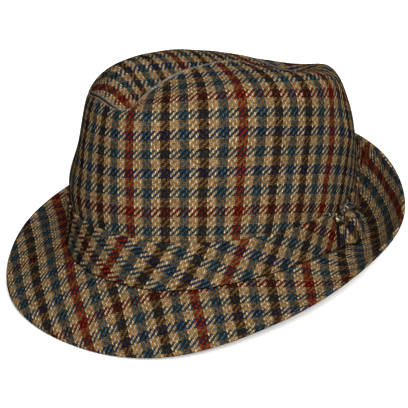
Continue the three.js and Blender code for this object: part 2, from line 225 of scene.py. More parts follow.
def outward(degrees):
    angle = np.radians(degrees)
    away = np.stack([np.sin(angle) / HALF_WIDTH, -np.cos(angle) / HALF_LENGTH, np.zeros_like(angle)], -1)
    return away / np.linalg.norm(away, axis=-1, keepdims=True)


def towards(start, end, length, share):
    t = np.minimum(length / np.linalg.norm(end - start, axis=-1), share)
    return start + (end - start) * t[:, None]


def straight(start, end, steps):
    return [start + (end - start) * step / steps for step in range(steps)]


def rounded(start, corner, end, steps):
    rows = []
    for step in range(steps):
        t = step / steps
        rows.append((1 - t) ** 2 * start + 2 * t * (1 - t) * corner + t * t * end)
    return rows


def swell(degrees, height):
    low = (height - LOW_SWELL_AT) / LOW_SWELL_SPREAD
    high = (height - HIGH_SWELL_AT) / HIGH_SWELL_SPREAD
    return low_swell(degrees) * np.exp(-low * low) + high_swell(degrees) * np.exp(-high * high)


def shoulder(degrees):
    corner = base_point(degrees, 0, 0) * corner_share(degrees)[:, None]
    corner[:, 2] = corner_height(degrees)
    return corner


def crown_lines(degrees):
    """The crown's lines from the brim joint over the seam to the crease, and the seam's row."""
    joint = base_point(degrees, 0, joint_height(degrees))
    corner = shoulder(degrees)
    seam = np.stack([axis(degrees) for axis in seam_axes], -1)
    ridge = np.stack([axis(degrees) for axis in ridge_axes], -1)
    crease = np.stack([crease_x(degrees), crease_y(degrees), crease_z(degrees)], -1)
    wall_end = towards(corner, joint, roll_length(degrees), WALL_SHARE)
    shelf_start = towards(corner, seam, roll_length(degrees), SHELF_SHARE)
    lip_start = towards(seam, corner, lip_length(degrees), LIP_SHARE)
    lip_end = towards(seam, ridge, lip_length(degrees), RISE_SHARE)
    ridge_start = towards(ridge, seam, RIDGE_ROLL, RIDGE_SHARE)
    ridge_end = towards(ridge, crease, RIDGE_ROLL, FLOOR_SHARE)
    wall = straight(joint, wall_end, WALL_STEPS) + rounded(wall_end, corner, shelf_start, SHOULDER_STEPS)
    away = outward(degrees)
    wall = [row + away * swell(degrees, row[:, 2])[:, None] for row in wall]
    side = wall + straight(shelf_start, lip_start, SHELF_STEPS)
    lip = rounded(lip_start, seam, lip_end, LIP_STEPS)
    tip = straight(lip_end, ridge_start, RISE_STEPS)
    tip += rounded(ridge_start, ridge, ridge_end, RIDGE_STEPS)
    tip += straight(ridge_end, crease, FLOOR_STEPS)
    rows = side + lip + tip + [crease]
    return np.array(rows), len(side) + LIP_STEPS // 2


def lengths(rows):
    steps = np.linalg.norm(np.diff(rows, axis=0), axis=-1)
    return np.concatenate([np.zeros((1, rows.shape[1])), np.cumsum(steps, axis=0)])


def spaced(rows, places):
    """The lines read again at other places, each a length along its line from its first row."""
    along = lengths(rows)
    out = np.empty((len(places),) + rows.shape[1:])
    for column in range(rows.shape[1]):
        for axis in range(3):
            out[:, column, axis] = np.interp(places[:, column], along[:, column], rows[:, column, axis])
    return out


def normals(grid):
    """Direction across the cloth at each point of a grid, whose last column lies on its first."""
    across = np.empty_like(grid)
    across[:, 1:-1] = grid[:, 2:] - grid[:, :-2]
    across[:, 0] = across[:, -1] = grid[:, 1] - grid[:, -2]
    normal = np.cross(across, np.gradient(grid, axis=0))
    normal /= np.maximum(np.linalg.norm(normal, axis=-1, keepdims=True), NEVER_ZERO)
    return -normal if np.mean(normal[..., 2]) < 0 else normal


# Flat plans of the cloth
SAME_PLACE = 1e-6
ANCHOR = 1e-6
SHORT_THREAD = 1
FLAT_ROUNDS = 120
FLAT_STEP = 4
FLAT_AT = np.arange(0, AROUND + 1, FLAT_STEP)
SIDE_FLAT_ROWS = 17
TIP_FLAT_ROWS = 15
BRIM_FLAT_ROWS = 9
SIDE_BEND = 620
UPRIGHT_ROWS = 5
LEFT_COLUMNS = 5


def flatten(grid, start, ids=None):
    """Flat plan of a curved cloth: springs along its threads settle to their true lengths."""
    if ids is None:
        ids = np.arange(grid.shape[0] * grid.shape[1]).reshape(grid.shape[:2])
    count = ids.max() + 1
    points = np.zeros((count, 3))
    flat = np.zeros((count, 2))
    points[ids.ravel()] = grid.reshape(-1, 3)
    flat[ids.ravel()] = start.reshape(-1, 2)
    pairs = [(ids[:-1], ids[1:]), (ids[:, :-1], ids[:, 1:])]
    pairs += [(ids[:-1, :-1], ids[1:, 1:]), (ids[1:, :-1], ids[:-1, 1:])]
    a = np.concatenate([pair[0].ravel() for pair in pairs])
    b = np.concatenate([pair[1].ravel() for pair in pairs])
    length = np.linalg.norm(points[a] - points[b], axis=1)
    keep = (a != b) & (length > SAME_PLACE)
    a, b, length = a[keep], b[keep], length[keep]
    weight = 1 / np.maximum(length, SHORT_THREAD)
    stiff = np.zeros((count, count))
    for one, two, sign in ((a, a, 1), (b, b, 1), (a, b, -1), (b, a, -1)):
        np.add.at(stiff, (one, two), sign * weight)
    settle = np.linalg.inv(stiff + ANCHOR * np.eye(count))
    for _ in range(FLAT_ROUNDS):
        apart = flat[a] - flat[b]
        pull = (weight * length / (np.linalg.norm(apart, axis=1) + NEVER_ZERO))[:, None] * apart
        force = np.zeros((count, 2))
        np.add.at(force, a, pull)
        np.add.at(force, b, -pull)
        flat = settle @ force
        flat -= flat.mean(axis=0)
    return flat[ids]


def upright(flat, low, high):
    """Turns a flat plan so that its front column runs straight up between two rows, from the origin."""
    middle = flat.shape[1] // 2
    up = flat[high, middle] - flat[low, middle]
    turn = np.arctan2(up[0], up[1])
    c, s = np.cos(turn), np.sin(turn)
    flat = flat - flat[0, middle]
    flat = np.stack([c * flat[..., 0] - s * flat[..., 1], s * flat[..., 0] + c * flat[..., 1]], -1)
    if flat[0, middle + LEFT_COLUMNS, 0] < 0:
        flat[..., 0] *= -1
    return flat


def cut(flat, plan):
    """Turns a flat plan and moves one named rust crossing to the origin."""
    turn = np.radians(plan["turn"])
    u = np.cos(turn) * flat[..., 0] + np.sin(turn) * flat[..., 1] - plan["across"]
    v = -np.sin(turn) * flat[..., 0] + np.cos(turn) * flat[..., 1] - plan["along"]
    return np.stack([u, v], -1) / plan["stretch"]


def finer(coarse, rows_at, columns_at):
    """Reads a coarse grid at given row and column places by straight lines."""
    row = np.clip(rows_at.astype(int), 0, coarse.shape[0] - 2)
    column = np.clip(columns_at.astype(int), 0, coarse.shape[1] - 2)
    s = (rows_at - row)[..., None]
    t = (columns_at - column)[..., None]
    first = coarse[row, column] * (1 - t) + coarse[row, column + 1] * t
    second = coarse[row + 1, column] * (1 - t) + coarse[row + 1, column + 1] * t
    return first * (1 - s) + second * s


def read_plan(flat, row_share):
    """The plan of a fine grid from a coarse one, row_share running from 0 to 1."""
    column_at = np.repeat((np.arange(AROUND + 1) / FLAT_STEP)[None], len(row_share), 0)
    return finer(flat, row_share * (len(flat) - 1), column_at)


def even_rows(lines, count):
    return spaced(lines, lengths(lines)[-1] * np.linspace(0, 1, count)[:, None])


def side_flat(lines):
    """Flat plan of the side panel on a coarse grid, front upright."""
    plain = even_rows(lines[:, FLAT_AT], SIDE_FLAT_ROWS)
    along = lengths(plain)
    s = np.concatenate([[0], np.cumsum(np.linalg.norm(np.diff(plain[0], axis=0), axis=-1))])
    s = (s - s[len(s) // 2]) / SIDE_BEND
    start = np.stack([(SIDE_BEND - along) * np.sin(s), SIDE_BEND - (SIDE_BEND - along) * np.cos(s)], -1)
    return upright(flatten(plain, start), 0, UPRIGHT_ROWS)


def tip_flat(lines):
    """Flat plan of the tip on a coarse grid. Both halves share the points of the crease."""
    plain = even_rows(lines[:, FLAT_AT], TIP_FLAT_ROWS)
    count = len(FLAT_AT) - 1
    ids = np.arange(TIP_FLAT_ROWS * (count + 1)).reshape(TIP_FLAT_ROWS, count + 1)
    ids[:, -1] = ids[:, 0]
    ids[-1] = ids[-1, np.minimum(np.arange(count + 1), count - np.arange(count + 1))]
    ids = np.unique(ids, return_inverse=True)[1].reshape(TIP_FLAT_ROWS, count + 1)
    return upright(flatten(plain, plain[..., :2].copy(), ids), 0, UPRIGHT_ROWS)


def brim_flat(degrees):
    """Flat plan of the brim on a coarse grid, front downwards."""
    plain = brim_lines(degrees[FLAT_AT], BRIM_FLAT_ROWS - 1)
    return upright(flatten(plain, plain[..., :2].copy()), -1, 0)


# Meshes
def rest_pose():
    """Turn and shift of the hat's rest pose, from the rim that its record names."""
    mount = frame["record"]["mounts"][0]
    tilt = np.arcsin(mount["axis"][1])
    turn = np.array([[1, 0, 0], [0, np.cos(tilt), -np.sin(tilt)], [0, np.sin(tilt), np.cos(tilt)]])
    front = np.array([0, -(HALF_LENGTH - CLOTH / 2), -RIM_DROP]) / MM_IN_M
    return turn, np.array(mount["pos_m"]) - turn @ front


def to_rest(points):
    turn, shift = rest_pose()
    return points.reshape(-1, 3) / MM_IN_M @ turn.T + shift


def new_mesh(name, points, faces, corners, seam=None):
    mesh = bpy.data.meshes.new(name)
    mesh.from_pydata(to_rest(points).tolist(), [], faces)
    layer = mesh.uv_layers.new(name="cloth")
    layer.data.foreach_set("uv", np.array(corners, float).ravel())
    if seam is not None:
        mesh.attributes.new("seam", "FLOAT", "POINT").data.foreach_set("value", seam.ravel())
    mesh.shade_smooth()
    mesh.validate()
    mesh.update()
    piece = bpy.data.objects.new(name, mesh)
    bpy.context.scene.collection.objects.link(piece)
    return piece


def shell(name, loop, plan, closed, seam=None):
    """A solid whose cross-section is a loop of rows. Columns run round the hat.

    plan holds the flat place of each point. closed joins the last column to the first, and a strip
    that isn't closed has a face over each end. seam holds each point's distance from the seam.
    """
    rows, columns = loop.shape[:2]
    width = columns - 1 if closed else columns
    faces, corners = [], []
    for row in range(rows):
        low, high = row, (row + 1) % rows
        for column in range(columns - 1):
            near, far = column % width, (column + 1) % width
            faces.append((low * width + near, low * width + far, high * width + far, high * width + near))
            corners += [plan[low, column], plan[low, column + 1], plan[high, column + 1], plan[high, column]]
    if not closed:
        faces.append(tuple(row * width for row in range(rows)))
        corners += [plan[row, 0] for row in range(rows)]
        faces.append(tuple(row * width + columns - 1 for row in reversed(range(rows))))
        corners += [plan[row, columns - 1] for row in reversed(range(rows))]
    if seam is not None:
        seam = seam[:, :width]
    return new_mesh(name, loop[:, :width], faces, corners, seam)


def around_degrees():
    return np.linspace(-180, 180, AROUND + 1)


# Crown. The first mesh rows beside the seam, in millimetres from it, carry its rolled lips
NEAR_SEAM = np.array([0, 0.2, 0.4, 0.6, 0.9, 1.2, 1.5, 1.8, 2.2, 2.7, 3.3, 4, 5, 6.5])
FAR_FROM_SEAM = 99.0
SEAM_CLOTH = 0.6
LIP_SPREAD = 0.55
GROOVE_SPREAD = 0.45


def seam_relief(distance, sizes):
    """Height of the lip over the cloth, less the depth of the groove, at distances from the seam."""
    width = sizes.lip_width * MM_IN_M
    lip = np.exp(-(((distance - width) / (LIP_SPREAD * width)) ** 2))
    groove = np.exp(-((distance / (GROOVE_SPREAD * width)) ** 2))
    return sizes.lip_height * MM_IN_M * lip - sizes.groove_depth * MM_IN_M * groove


def seam_places(total, steps):
    rest = np.linspace(0, 1, steps + 1)[1:]
    far = NEAR_SEAM[-1] + rest[:, None] * (total - NEAR_SEAM[-1])
    return np.concatenate([np.repeat(NEAR_SEAM[:, None], len(total), 1), far])


def crown_panel(lines, steps, sizes):
    """Outer and inner faces of one panel and its distances from the seam, where its rows begin."""
    distance = seam_places(lengths(lines)[-1], steps)
    grid = spaced(lines, distance)
    normal = normals(grid)
    outer = grid + normal * seam_relief(distance, sizes)[..., None]
    inner = grid - normal * CLOTH
    inner[0] = outer[0] - normal[0] * SEAM_CLOTH
    return outer, inner, distance


def from_seam(distance, count):
    """Distance of each row of a panel from the seam, with the rows of its inner face far away."""
    far = np.full((count - len(distance), distance.shape[1]), FAR_FROM_SEAM)
    return np.concatenate([distance, far])


def build_crown_side(sizes):
    degrees = around_degrees()
    rows, seam = crown_lines(degrees)
    lines = rows[seam::-1]
    outer, inner, distance = crown_panel(lines, SIDE_STEPS, sizes)
    flat = cut(side_flat(rows[: seam + 1]), SIDE_CUT)
    plan = read_plan(flat, 1 - distance / lengths(lines)[-1])
    rim_outer = base_point(degrees, 0, -RIM_DROP)[None]
    rim_inner = base_point(degrees, -CLOTH, -RIM_DROP)[None]
    rim_plan = plan[-1:] - (0, RIM_DROP)
    loop = np.concatenate([outer, rim_outer, rim_inner, inner[::-1]])
    plan = np.concatenate([plan, rim_plan, rim_plan, plan[::-1]])
    return shell("crown_side_cloth", loop, plan, closed=True, seam=from_seam(distance, len(loop)))


def build_crown_tip(sizes):
    rows, seam = crown_lines(around_degrees())
    lines = rows[seam:]
    outer, inner, distance = crown_panel(lines, TIP_STEPS, sizes)
    flat = cut(tip_flat(lines), TIP_CUT)
    plan = read_plan(flat, distance / lengths(lines)[-1])
    loop = np.concatenate([outer, inner[::-1]])
    plan = np.concatenate([plan, plan[::-1]])
    return shell("crown_tip_cloth", loop, plan, closed=True, seam=from_seam(distance, len(loop)))


# Brim
def brim_lines(degrees, steps):
    start = base_point(degrees, GAP, joint_height(degrees))
    away = outward(degrees)
    reach, slope = brim_reach(degrees), brim_slope(degrees)
    turn = start + away * (reach * np.cos(slope))[:, None]
    turn[:, 2] += reach * np.sin(slope)
    edge = base_point(degrees, GAP, brim_rise(degrees))
    edge += away * (brim_out(degrees) + BRIM_EDGE_ROLL)[:, None]
    return np.array(rounded(start, turn, edge, steps) + [edge])


def build_brim():
    """The doubled cloth of the brim, whose outer edge is a half round."""
    degrees = around_degrees()
    grid = brim_lines(degrees, BRIM_STEPS)
    normal = normals(grid)
    radius = BRIM_THICKNESS / 2
    under = grid - normal * BRIM_THICKNESS
    under[0] = grid[0] - np.array([0, 0, BRIM_THICKNESS])
    middle = (grid[-1] + under[-1]) / 2
    out = grid[-1] - grid[-2]
    out /= np.linalg.norm(out, axis=-1, keepdims=True)
    middle -= out * radius
    grid[-1] -= out * radius
    under[-1] -= out * radius
    edge_at = np.arange(1, BRIM_EDGE_STEPS) / BRIM_EDGE_STEPS
    edge = [middle + radius * (np.cos(np.pi * at) * normal[-1] + np.sin(np.pi * at) * out) for at in edge_at]
    flat = cut(brim_flat(degrees), BRIM_CUT)
    plan = read_plan(flat, np.repeat(np.linspace(0, 1, BRIM_STEPS + 1)[:, None], AROUND + 1, 1))
    loop = np.concatenate([grid, np.array(edge), under[::-1]])
    onward = plan[-1] - plan[-2]
    onward /= np.linalg.norm(onward, axis=-1, keepdims=True)
    edge_plan = plan[-1] + onward * (radius * np.pi * edge_at)[:, None, None]
    plan = np.concatenate([plan, edge_plan, plan[::-1] + onward * radius * np.pi])
    return shell("brim_cloth", loop, plan, closed=True)


# Band: outer profile from the foot to the top, as shares of its height and its thickness
BAND_PROFILE = [
    dict(up=0, out=0),
    dict(up=0, out=0.55),
    dict(up=0.03, out=0.9),
    dict(up=0.07, out=1),
    dict(up=0.25, out=1),
    dict(up=0.5, out=1),
    dict(up=0.75, out=1),
    dict(up=0.93, out=1),
    dict(up=0.975, out=0.9),
    dict(up=1, out=0.5),
    dict(up=1, out=0),
]
BAND_MIDDLE = 5
BAND_CORNER_DEGREES = 6.5
BAND_CORNER_DROP = 7


def wall_point(degrees, height, extra):
    joint = base_point(degrees, 0, joint_height(degrees))
    corner = shoulder(degrees)
    share = (height - joint[:, 2]) / (corner[:, 2] - joint[:, 2])
    point = joint + (corner - joint) * share[:, None]
    point[:, 2] = height
    return point + outward(degrees) * (extra + swell(degrees, height))[:, None]


def quarter_round(value, reach):
    """0 at 0 and 1 from the reach on, along a quarter of a circle."""
    return np.sqrt(1 - (1 - np.clip(value / reach, 0, 1)) ** 2)


def build_band():
    """The band, with the corner of its end under the knot rounded off."""
    degrees = np.linspace(BAND_START_AT - 360, BAND_END_AT, AROUND + 1)
    foot = joint_height(degrees) + BAND_FOOT
    top = BAND_TOP - BAND_CORNER_DROP * (1 - quarter_round(BAND_END_AT - degrees, BAND_CORNER_DEGREES))
    profile = []
    for row in BAND_PROFILE:
        height = foot + (top - foot) * row["up"]
        profile.append(wall_point(degrees, height, BAND_CLEAR + BAND_THICKNESS * row["out"]))
    loop = np.array(profile)
    along = lengths(loop[BAND_MIDDLE][:, None])[:, 0]
    along -= along[-1]
    plan = np.stack([np.repeat(along[None], len(loop), 0), loop[..., 2] - foot], -1)
    return shell("hat_band_cloth", loop, cut(plan, BAND_CUT), closed=False)


# Knot: heights and depths in millimetres, places across and up the knot from 0 to 1
BODY = dict(height=6.5, rise=(0.12, 0.5), fall=(0.78, 1), loss=0.25)
HOLLOW = dict(depth=3.2, up=0.81, lean=0.03, width=0.07, rise=(0.2, 0.4), fall=(0.8, 1))
FOLD = dict(depth=0.9, up=0.63, lean=0.05, width=0.03, rise=(0.2, 0.34))
CURL = dict(height=3.4, across=0.06, width=0.05, rise=(0.6, 0.68), fall=(0.82, 0.92))
RIPPLE = dict(height=0.2, waves=6.5, rise=(0.2, 0.4), fall=(0.5, 0.66))
ARCH = dict(height=1.5, across=0.4, width=0.2)
SLOPE = dict(drop=8, fall=(0.45, 1.05))
FOOT_ROUND = 0.1
TOP_ROUND = 0.07
KNOT_FOOT_LIFT = 0.9
KNOT_TOP_DROP = 6
KNOT_SKIN = 0.6
KNOT_PLAN_ROW = KNOT_ROWS // 3
# Across share and height in millimetres of the knot's slit, where shade is painted
SLIT_SHADE_WIDTH = 0.1
SLIT_SHADE_TOP = 21


def ramp(value, start, end):
    """0 before the start, 1 after the end, smooth between."""
    t = np.clip((value - start) / (end - start), 0, 1)
    return t * t * (3 - 2 * t)


def bump(value, middle, width):
    return np.exp(-(((value - middle) / width) ** 2))


def crossing_fold(fold, across, up):
    """Depth of a fold that runs across the knot, from the place where it starts."""
    depth = fold["depth"] * bump(up, fold["up"] + fold["lean"] * across, fold["width"])
    return depth * ramp(across, *fold["rise"])


def knot_swell(across, up):
    """How far the knot stands out of the wall."""
    body = BODY["height"] * ramp(across, *BODY["rise"]) * (1 - BODY["loss"] * ramp(across, *BODY["fall"]))
    hollow = crossing_fold(HOLLOW, across, up) * (1 - ramp(across, *HOLLOW["fall"]))
    fold = crossing_fold(FOLD, across, up)
    ripple = RIPPLE["height"] * np.sin(2 * np.pi * RIPPLE["waves"] * across)
    ripple = ripple * (1 - ramp(up, *RIPPLE["fall"])) * ramp(across, *RIPPLE["rise"])
    curl = CURL["height"] * bump(across, CURL["across"], CURL["width"])
    curl = curl * ramp(up, *CURL["rise"]) * (1 - ramp(up, *CURL["fall"]))
    ends = quarter_round(up, FOOT_ROUND) * quarter_round(1 - up, TOP_ROUND)
    return np.maximum((body - hollow - fold + ripple) * ends, 0) + curl


def build_knot():
    """The knot. Its seam attribute is 0 in the slit at its front edge, where the slit's shade is painted in
    the groove colour.
    """
    degrees = np.linspace(KNOT_FROM, KNOT_TO, KNOT_COLUMNS + 1)
    across = (degrees - KNOT_FROM) / (KNOT_TO - KNOT_FROM)
    foot = joint_height(degrees) + KNOT_FOOT_LIFT
    top = KNOT_TOP - KNOT_TOP_DROP + ARCH["height"] * bump(across, ARCH["across"], ARCH["width"])
    top -= SLOPE["drop"] * ramp(across, *SLOPE["fall"])
    inner, outer = [], []
    for row in range(KNOT_ROWS + 1):
        up = row / KNOT_ROWS
        height = foot + (top - foot) * up
        inner.append(wall_point(degrees, height, BAND_CLEAR))
        outer.append(wall_point(degrees, height, BAND_CLEAR + KNOT_SKIN + knot_swell(across, up)))
    loop = np.concatenate([np.array(outer), np.array(inner)[::-1]])
    along = lengths(loop[KNOT_PLAN_ROW][:, None])[:, 0]
    plan = np.stack([np.repeat(along[None], len(loop), 0), loop[..., 2] - foot], -1)
    # Painted shade: the slit beside the band's end takes the dark groove colour
    slit = np.where((across < SLIT_SHADE_WIDTH) & (loop[..., 2] < SLIT_SHADE_TOP), 0.0, FAR_FROM_SEAM)
    return shell("bow_knot_cloth", loop, cut(plan, KNOT_CUT), closed=False, seam=slit)


# Cloth material: a 2/2 twill with a check, worked out thread by thread from the flat plan
class Nodes:
    """Short calls for a material's nodes."""

    def __init__(self, name):
        self.material = bpy.data.materials.new(name)
        self.material.use_nodes = True
        self.tree = self.material.node_tree
        self.tree.nodes.clear()

    def add(self, kind, inputs=None, **settings):
        node = self.tree.nodes.new(kind)
        for key, value in settings.items():
            setattr(node, key, value)
        for key, value in (inputs or {}).items():
            if isinstance(value, bpy.types.NodeSocket):
                self.tree.links.new(value, node.inputs[key])
            else:
                node.inputs[key].default_value = value
        return node

    def math(self, operation, *values):
        return self.add("ShaderNodeMath", dict(enumerate(values)), operation=operation).outputs[0]

    def vector(self, operation, inputs):
        return self.add("ShaderNodeVectorMath", inputs, operation=operation).outputs[0]

    def mix(self, factor, a, b, blend="MIX"):
        """Two colours mixed. A Mix node has its colours at inputs 6 and 7 and the result at output 2."""
        inputs = {0: factor, 6: a, 7: b}
        return self.add("ShaderNodeMix", inputs, data_type="RGBA", blend_type=blend).outputs[2]

    def number(self, factor, a, b):
        """a where the factor is 0 and b where it is 1. A Mix node has its numbers at inputs 2 and 3."""
        return self.add("ShaderNodeMix", {0: factor, 2: a, 3: b}, data_type="FLOAT").outputs[0]

    def near(self, distance, start, end):
        """1 up to the start distance, falling to 0 at the end distance."""
        inputs = {0: distance, 1: start, 2: end, 3: 1.0, 4: 0.0}
        return self.add("ShaderNodeMapRange", inputs, interpolation_type="SMOOTHSTEP").outputs[0]

    def noise(self, place, scale, detail):
        return self.add("ShaderNodeTexNoise", {"Vector": place, "Scale": scale, "Detail": detail})

    def spread(self, value, change):
        """A factor around 1 from a value around 0.5."""
        return self.math("MULTIPLY_ADD", value, 2 * change, 1 - change)

    def shifted(self, place, scale, reach):
        """A place moved by soft noise, up to reach each way."""
        noise = self.noise(place, scale, SHIFT_DETAIL).outputs["Color"]
        move = self.vector("SUBTRACT", {0: noise, 1: (0.5, 0.5, 0.5)})
        move = self.vector("SCALE", {0: move, "Scale": 2 * reach})
        return self.vector("ADD", {0: place, 1: move})

    def stripes(self, place, colors):
        """Colour of a thread from its place in the repeat, 0 to 1, in equal stripes."""
        ramp_node = self.add("ShaderNodeValToRGB", {0: place})
        ramp_node.color_ramp.interpolation = "CONSTANT"
        elements = ramp_node.color_ramp.elements
        while len(elements) < len(colors):
            elements.new(0.5)
        for index, color in enumerate(colors):
            elements[index].position = index / len(colors)
            elements[index].color = color
        return ramp_node.outputs[0]


# Stripes of the check in their order: each ground stripe lies between two coloured ones
WARP_STRIPES = ("rust", "teal", "dark", "teal", "dark", "teal")
WEFT_STRIPES = ("rust", "teal", "navy", "teal", "navy", "teal")
STRIPE_THREADS = 6
# Threads in one repeat of the weave, and those that one float passes over
TWILL = 4
FLOAT_THREADS = TWILL / 2
WEFT_FLOAT_MIDDLE = 3.0
HALF_THREAD = 0.5
# Detail of the noises, and how much less the weft's relief is
SHIFT_DETAIL = 1.0
FIBRE_DETAIL = 3.0
CLOUD_DETAIL = 2.0
WEFT_RELIEF = 0.5
BUMP_STRENGTH = 0.7
# Where the pressed cloth with its painted highlight and the painted shade in the groove end beside the seam,
# in widths of its lip
PRESSED_HIGHLIGHT_REACH = (0.9, 1.7)
PRESSED_HIGHLIGHT_CHANGE = 0.6
GROOVE_SHADE_REACH = (0.15, 0.5)


def opaque(color):
    return tuple(color) + (1,)


def from_stripe_edge(n, thread):
    """A thread's number counted from the edge of the first stripe, with thread 0 in its middle."""
    return n.math("ADD", thread, STRIPE_THREADS / 2 + HALF_THREAD)


def thread_color(n, thread, stripes, ground, colors):
    """Colour of each thread from its number: coloured stripes with a stripe of ground after each."""
    keys = [key for stripe in stripes for key in (stripe, ground)]
    repeat = float(STRIPE_THREADS * len(keys))
    place = n.math("FLOORED_MODULO", from_stripe_edge(n, thread), repeat)
    return n.stripes(n.math("DIVIDE", place, repeat), [opaque(getattr(colors, key)) for key in keys])


def weave(n, u, v, float_end):
    """The warp and weft threads at a place, whether the warp is up, and how high the upper one is."""
    warp, weft = n.math("FLOOR", u), n.math("FLOOR", v)
    lead = n.math("FLOORED_MODULO", n.math("SUBTRACT", warp, weft), float(TWILL))
    up = n.math("LESS_THAN", lead, FLOAT_THREADS - HALF_THREAD)
    # A thread is highest along its middle and halfway between the two places where it goes under
    across = n.number(up, n.math("SUBTRACT", v, weft), n.math("SUBTRACT", u, warp))
    across = n.math("SINE", n.math("MULTIPLY", across, np.pi))
    weft_along = n.math("SUBTRACT", n.math("SUBTRACT", u, weft), WEFT_FLOAT_MIDDLE)
    along = n.number(up, weft_along, n.math("SUBTRACT", v, warp))
    along = n.math("COSINE", n.math("MULTIPLY", along, 2 * np.pi / TWILL))
    rise = n.math("MULTIPLY", across, n.math("MULTIPLY_ADD", along, 1 - float_end, float_end))
    return warp, weft, up, rise


def float_noise(n, u, v, warp, weft, up):
    """A number of its own for each float, from 0 to 1."""
    warp_float = n.math("ADD", n.math("SUBTRACT", v, warp), FLOAT_THREADS / 2)
    warp_float = n.math("FLOOR", n.math("MULTIPLY", warp_float, 1 / FLOAT_THREADS))
    weft_float = n.math("FLOOR", n.math("MULTIPLY", n.math("SUBTRACT", u, weft), 1 / FLOAT_THREADS))
    inputs = {0: n.number(up, weft_float, warp), 1: n.number(up, weft, warp_float), 2: up}
    place = n.add("ShaderNodeCombineXYZ", inputs).outputs[0]
    return n.add("ShaderNodeTexWhiteNoise", {"Vector": place}, noise_dimensions="3D").outputs[0]


def thread_light(n, warp, up, rise, looks):
    """Light on the upper thread. The weft takes less, and least where it crosses coloured stripes."""
    even = n.math("ABSOLUTE", n.math("SUBTRACT", n.math("FLOORED_MODULO", warp, 2.0), 1.0))
    warp_light = n.number(even, looks.warp_light, looks.low_light)
    stripe = n.math("FLOOR", n.math("DIVIDE", from_stripe_edge(n, warp), float(STRIPE_THREADS)))
    ground = n.math("FLOORED_MODULO", stripe, 2.0)
    weft_light = n.number(ground, looks.covered_light, looks.weft_light)
    light = n.math("MULTIPLY_ADD", rise, 1 - looks.gap_light, looks.gap_light)
    return n.math("MULTIPLY", light, n.number(up, weft_light, warp_light))


def seam_color(n, color, fibre, sizes, colors, looks):
    """The cloth's colour with its weave pressed away beside the seam and a painted highlight on its lips,
    and painted shade in the seam's groove and the knot's slit.
    """
    seam = n.add("ShaderNodeAttribute", attribute_name="seam").outputs["Fac"]
    lip = sizes.lip_width * MM_IN_M
    # The lips beside the seam: pressed cloth, painted lighter grey as a highlight where they catch light
    pressed_and_highlight = n.near(seam, *(share * lip for share in PRESSED_HIGHLIGHT_REACH))
    pressed_and_highlight = n.math("MULTIPLY", pressed_and_highlight, n.spread(fibre, PRESSED_HIGHLIGHT_CHANGE))
    color = n.mix(n.math("MULTIPLY", pressed_and_highlight, looks.pressed_and_highlight), color, opaque(colors.pressed_and_highlight))
    # Painted shade in the seam's groove and the knot's slit
    groove = n.near(seam, *(share * lip for share in GROOVE_SHADE_REACH))
    return n.mix(groove, color, opaque(colors.groove))


def cloth_material(name, sizes, colors, looks, seamed=False):
    """Wool cloth. seamed is for a piece whose points have the seam attribute."""
    n = Nodes(name)
    plan = n.add("ShaderNodeUVMap", uv_map="cloth").outputs[0]
    place = n.shifted(plan, looks.sway_scale, looks.sway * MM_IN_M)
    place = n.shifted(place, looks.wobble_scale, looks.wobble * MM_IN_M)
    parts = n.add("ShaderNodeSeparateXYZ", {0: place})
    u = n.math("MULTIPLY", parts.outputs[0], 1 / (sizes.warp_pitch * MM_IN_M))
    v = n.math("MULTIPLY", parts.outputs[1], 1 / (sizes.weft_pitch * MM_IN_M))
    warp, weft, up, rise = weave(n, u, v, looks.float_end)
    warp_color = thread_color(n, warp, WARP_STRIPES, "cream", colors)
    weft_color = thread_color(n, weft, WEFT_STRIPES, "tan", colors)
    color = n.mix(up, weft_color, warp_color)
    stitch = float_noise(n, u, v, warp, weft, up)
    fibre = n.noise(place, looks.fibre_scale, FIBRE_DETAIL).outputs[0]
    cloud = n.noise(place, looks.cloud_scale, CLOUD_DETAIL).outputs[0]
    light = thread_light(n, warp, up, rise, looks)
    light = n.math("MULTIPLY", light, n.spread(stitch, looks.stitch_change))
    light = n.math("MULTIPLY", light, n.spread(fibre, looks.fibre_change))
    light = n.math("MULTIPLY", light, n.spread(cloud, looks.cloud_change))
    gray = n.add("ShaderNodeCombineColor", {0: light, 1: light, 2: light}).outputs[0]
    color = n.mix(1.0, color, gray, "MULTIPLY")
    if seamed:
        color = seam_color(n, color, fibre, sizes, colors, looks)
    height = n.math("ADD", n.math("MULTIPLY", rise, n.number(up, WEFT_RELIEF, 1.0)), fibre)
    inputs = {"Height": height, "Strength": BUMP_STRENGTH, "Distance": sizes.thread_relief}
    relief = n.add("ShaderNodeBump", inputs).outputs[0]
    shader = n.add(
        "ShaderNodeBsdfPrincipled",
        {
            "Base Color": color,
            "Roughness": looks.roughness,
            "Specular IOR Level": looks.gloss,
            "Sheen Weight": looks.fuzz,
            "Normal": relief,
        },
    )
    n.add("ShaderNodeOutputMaterial", {0: shader.outputs[0]})
    return n.material


def plain_material(name, color, roughness):
    n = Nodes(name)
    shader = n.add("ShaderNodeBsdfPrincipled", {"Base Color": opaque(color), "Roughness": roughness})
    n.add("ShaderNodeOutputMaterial", {0: shader.outputs[0]})
    return n.material


# Properties
def length_property(name, description, default):
    return FloatProperty(
        name=name,
        description=description,
        default=default,
        min=0.0,
        precision=5,
        subtype="DISTANCE",
        unit="LENGTH",
    )


def color_property(name, description, default):
    return FloatVectorProperty(
        name=name, description=description, default=default, min=0.0, max=1.0, size=3, subtype="COLOR"
    )


def share_property(name, description, default):
    return FloatProperty(
        name=name, description=description, default=default, min=0.0, max=1.0, precision=3, subtype="FACTOR"
    )


def scale_property(name, description, default):
    return FloatProperty(name=name, description=description, default=default, min=0.0, precision=3)


